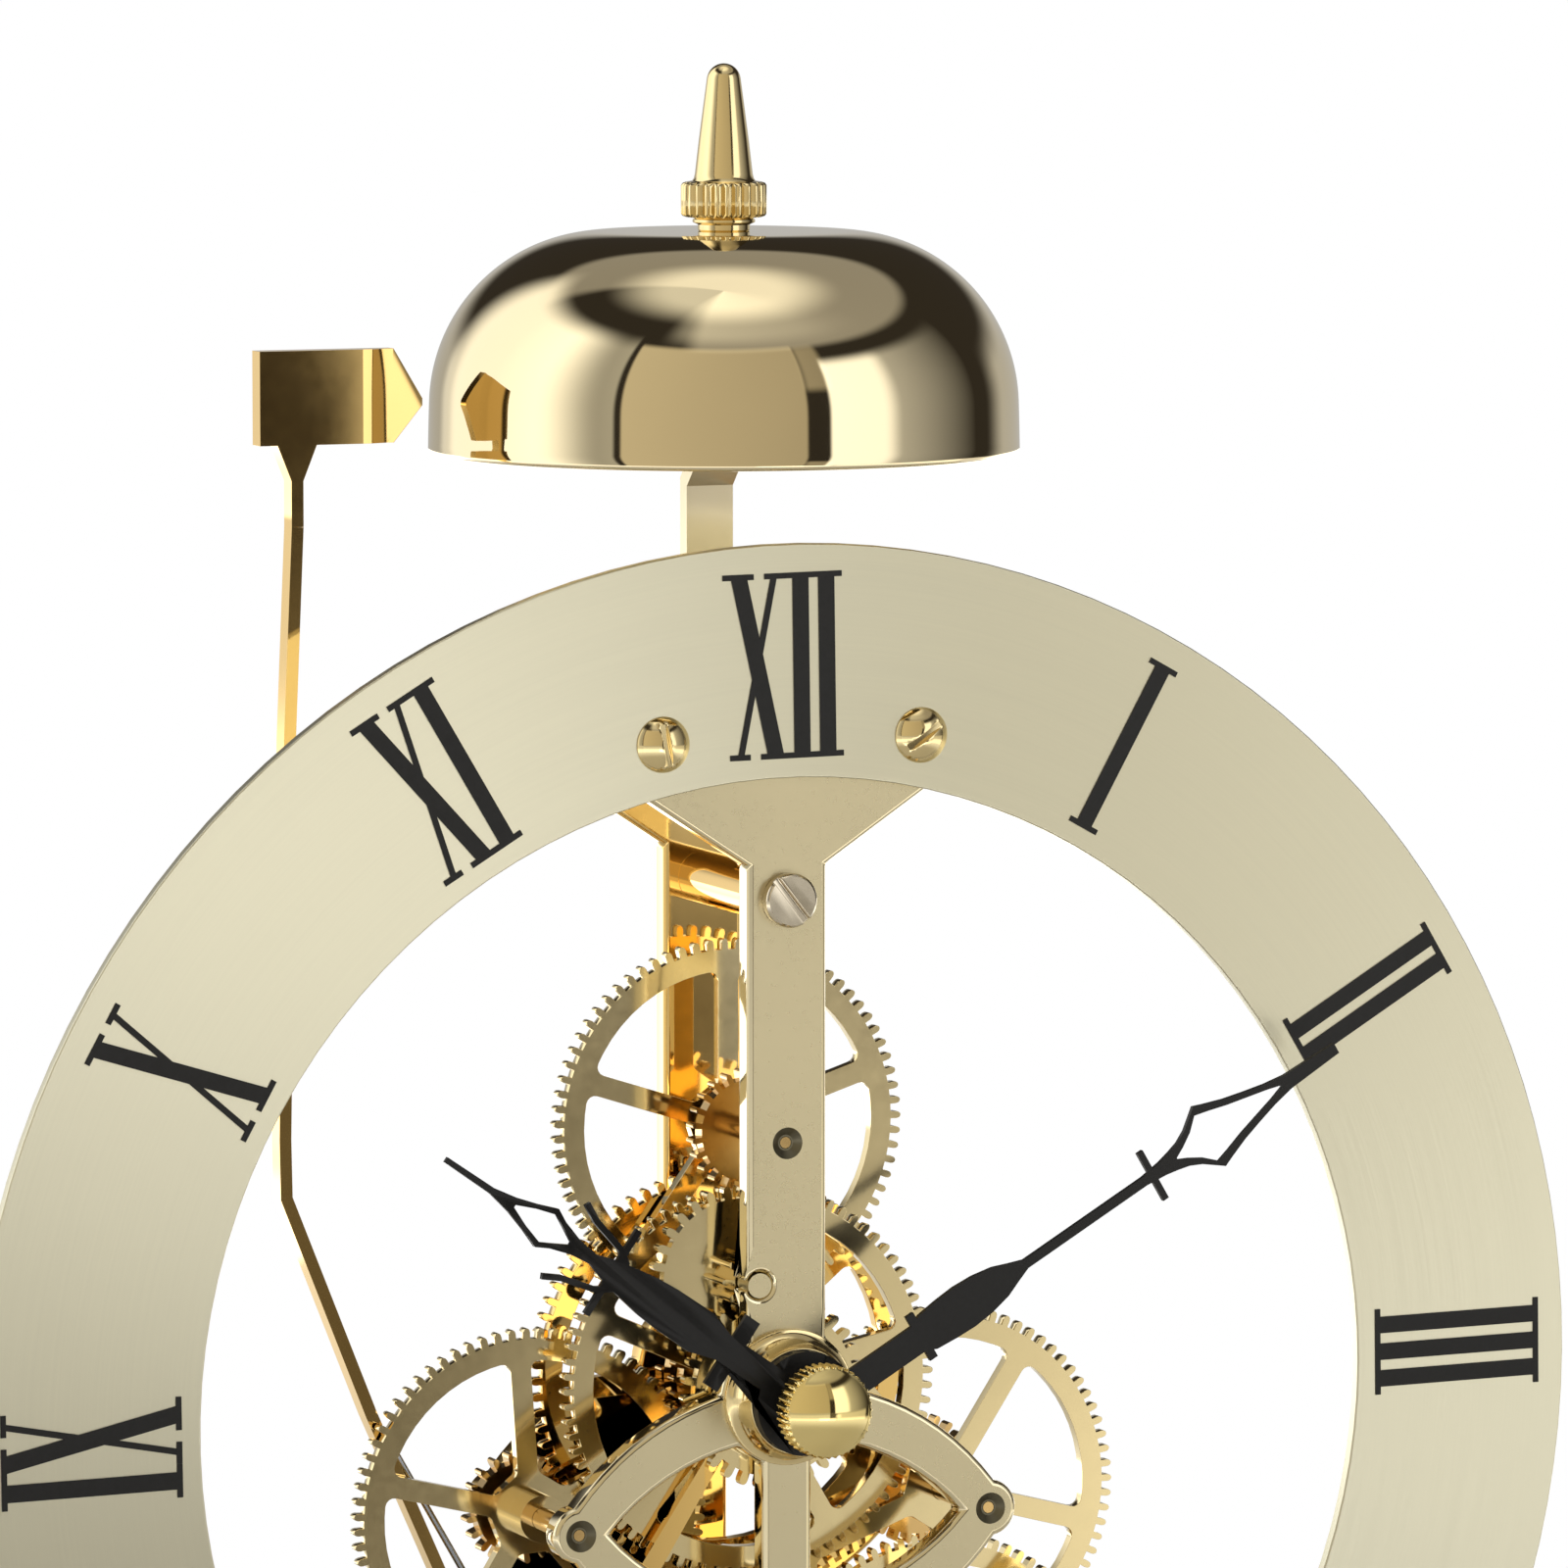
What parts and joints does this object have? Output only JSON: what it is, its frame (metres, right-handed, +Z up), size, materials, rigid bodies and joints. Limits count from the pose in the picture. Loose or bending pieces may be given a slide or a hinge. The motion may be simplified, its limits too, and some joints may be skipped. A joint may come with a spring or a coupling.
{
  "type": "clock movement",
  "caption": "Open brass skeleton clock movement with a Roman dial ring, two hands, a visible wheel train, a bell on top with a side hammer, a short pendulum and two feet.",
  "frame": {"origin": "centre of the base bolt pattern, on the surface the feet stand on", "axes": "+X right and +Z up as seen from the dial side, +Y away from the viewer; y = 0 is halfway between the plates"},
  "size_m": [0.15, 0.0538, 0.2382],
  "materials": {
    "satin_brass": "satin, fine grained",
    "wheel_brass": "polished, cut teeth",
    "finial_brass": "turned and polished",
    "polished_brass": "polished",
    "post_brass": "semi-polished",
    "dial_brass": "brushed champagne",
    "black_enamel": "satin black",
    "bell_bronze": "mirror polished",
    "bright_steel": "turned bright",
    "nickel_screws": "nickel plated",
    "spring_steel": "tempered"
  },
  "bodies": {
    "frame": {"front_plate": "satin_brass", "rear_plate": "polished_brass", "pillars": "polished_brass", "pillar_screws": "nickel_screws", "feet": "polished_brass", "foot_screws": "nickel_screws", "dial_ring": "dial_brass", "numerals": "black_enamel", "dial_screws": "finial_brass", "centre_boss": "finial_brass", "minute_wheel_post": "bright_steel", "back_cock": "polished_brass", "cock_screws": "nickel_screws", "suspension_bracket": "polished_brass", "suspension_pin": "bright_steel", "click_screw": "nickel_screws", "click_spring": "spring_steel", "bell": "bell_bronze", "bell_post": "post_brass", "bell_post_screws": "nickel_screws", "bell_finial": "finial_brass", "hammer_spring": "spring_steel"},
    "centre": {"centre_arbor": "bright_steel", "centre_wheel": "wheel_brass", "strike_cam": "polished_brass", "cannon_pinion": "bright_steel", "minute_hand": "black_enamel", "hand_nut": "finial_brass"},
    "hour": {"hour_wheel": "wheel_brass", "hour_hand": "black_enamel"},
    "minute_wheel": {"minute_wheel": "wheel_brass"},
    "first": {"first_arbor": "bright_steel", "first_wheel": "wheel_brass"},
    "second": {"second_arbor": "bright_steel", "second_wheel": "wheel_brass"},
    "third": {"third_arbor": "bright_steel", "third_wheel": "wheel_brass"},
    "pipe": {"pipe_pinion": "polished_brass", "pipe_wheel": "polished_brass"},
    "fourth": {"fourth_arbor": "bright_steel", "fourth_wheel": "wheel_brass"},
    "escape": {"escape_arbor": "bright_steel", "escape_wheel": "polished_brass"},
    "anchor": {"anchor": "bright_steel", "anchor_arbor": "bright_steel"},
    "pendulum": {"pendulum_rod": "bright_steel"},
    "bob": {"pendulum_bob": "polished_brass"},
    "rating_nut": {"rating_nut": "polished_brass"},
    "barrel": {"barrel": "polished_brass", "barrel_cover": "polished_brass", "mainspring": "spring_steel"},
    "winding": {"winding_arbor": "bright_steel", "ratchet_wheel": "bright_steel"},
    "click": {"click": "bright_steel"},
    "hammer": {"hammer": "polished_brass", "hammer_arbor": "bright_steel", "lifting_tail": "polished_brass"}
  },
  "joints": [
    {"name": "centre_spin", "type": "hinge", "parent": "frame", "child": "centre", "pos_m": [0, 0, 0.122], "axis": [0, 1, 0], "continuous": true},
    {"name": "hour_spin", "type": "hinge", "parent": "frame", "child": "hour", "pos_m": [0, 0, 0.122], "axis": [0, 1, 0], "continuous": true},
    {"name": "minute_wheel_spin", "type": "hinge", "parent": "frame", "child": "minute_wheel", "pos_m": [-0.00261, 0, 0.13192], "axis": [0, 1, 0], "continuous": true},
    {"name": "barrel_spin", "type": "hinge", "parent": "frame", "child": "barrel", "pos_m": [0, 0, 0.07751], "axis": [0, 1, 0], "continuous": true},
    {"name": "first_spin", "type": "hinge", "parent": "frame", "child": "first", "pos_m": [0.02131, 0, 0.08855], "axis": [0, 1, 0], "continuous": true},
    {"name": "second_spin", "type": "hinge", "parent": "frame", "child": "second", "pos_m": [0.01936, 0, 0.11082], "axis": [0, 1, 0], "continuous": true},
    {"name": "third_spin", "type": "hinge", "parent": "frame", "child": "third", "pos_m": [0, 0, 0.14436], "axis": [0, 1, 0], "continuous": true},
    {"name": "pipe_spin", "type": "hinge", "parent": "frame", "child": "pipe", "pos_m": [0, 0, 0.122], "axis": [0, 1, 0], "continuous": true},
    {"name": "fourth_spin", "type": "hinge", "parent": "frame", "child": "fourth", "pos_m": [-0.01936, 0, 0.11082], "axis": [0, 1, 0], "continuous": true},
    {"name": "escape_spin", "type": "hinge", "parent": "frame", "child": "escape", "pos_m": [-0.00569, 0, 0.09935], "axis": [0, 1, 0], "continuous": true},
    {"name": "pendulum_swing", "type": "hinge", "parent": "frame", "child": "pendulum", "pos_m": [0, 0.02275, 0.09007], "axis": [0, 1, 0], "range_deg": [-3, 3]},
    {"name": "anchor_swing", "type": "hinge", "parent": "frame", "child": "anchor", "pos_m": [0, 0, 0.09007], "axis": [0, 1, 0], "range_deg": [-3, 3]},
    {"name": "rating_nut_turn", "type": "hinge", "parent": "bob", "child": "rating_nut", "pos_m": [0, 0.02275, 0.00757], "axis": [0, 0, 1], "range_deg": [-1080, 1080]},
    {"name": "bob_slide", "type": "slide", "parent": "pendulum", "child": "bob", "axis": [0, 0, 1], "range_m": [-0.0015, 0.0015], "stiffness_N_per_m": 1, "springref_m": 0.0995},
    {"name": "winding_turn", "type": "hinge", "parent": "frame", "child": "winding", "pos_m": [0, 0, 0.07751], "axis": [0, 1, 0], "continuous": true},
    {"name": "click_lift", "type": "hinge", "parent": "frame", "child": "click", "pos_m": [0, 0.012, 0.06491], "axis": [0, 1, 0], "range_deg": [0, 8], "stiffness_Nm_per_rad": 0.0005, "springref_deg": -5.73},
    {"name": "hammer_swing", "type": "hinge", "parent": "frame", "child": "hammer", "pos_m": [-0.02035, 0, 0.09023], "axis": [0, 1, 0], "range_deg": [-12, 0], "stiffness_Nm_per_rad": 0.02, "springref_deg": 5.73}
  ],
  "couplings": [
    {"joint": "hour_spin", "follows": "centre_spin", "ratio": 0.083333},
    {"joint": "minute_wheel_spin", "follows": "centre_spin", "ratio": -0.33333},
    {"joint": "second_spin", "follows": "centre_spin", "ratio": -0.38667},
    {"joint": "first_spin", "follows": "centre_spin", "ratio": 0.12889},
    {"joint": "barrel_spin", "follows": "centre_spin", "ratio": -0.032222},
    {"joint": "third_spin", "follows": "centre_spin", "ratio": -3.3333},
    {"joint": "pipe_spin", "follows": "centre_spin", "ratio": 8.6207},
    {"joint": "fourth_spin", "follows": "centre_spin", "ratio": -32.759},
    {"joint": "escape_spin", "follows": "centre_spin", "ratio": 307.11},
    {"joint": "anchor_swing", "follows": "pendulum_swing", "ratio": 1},
    {"joint": "rating_nut_turn", "follows": "bob_slide", "rad_per_m": 12566}
  ]
}
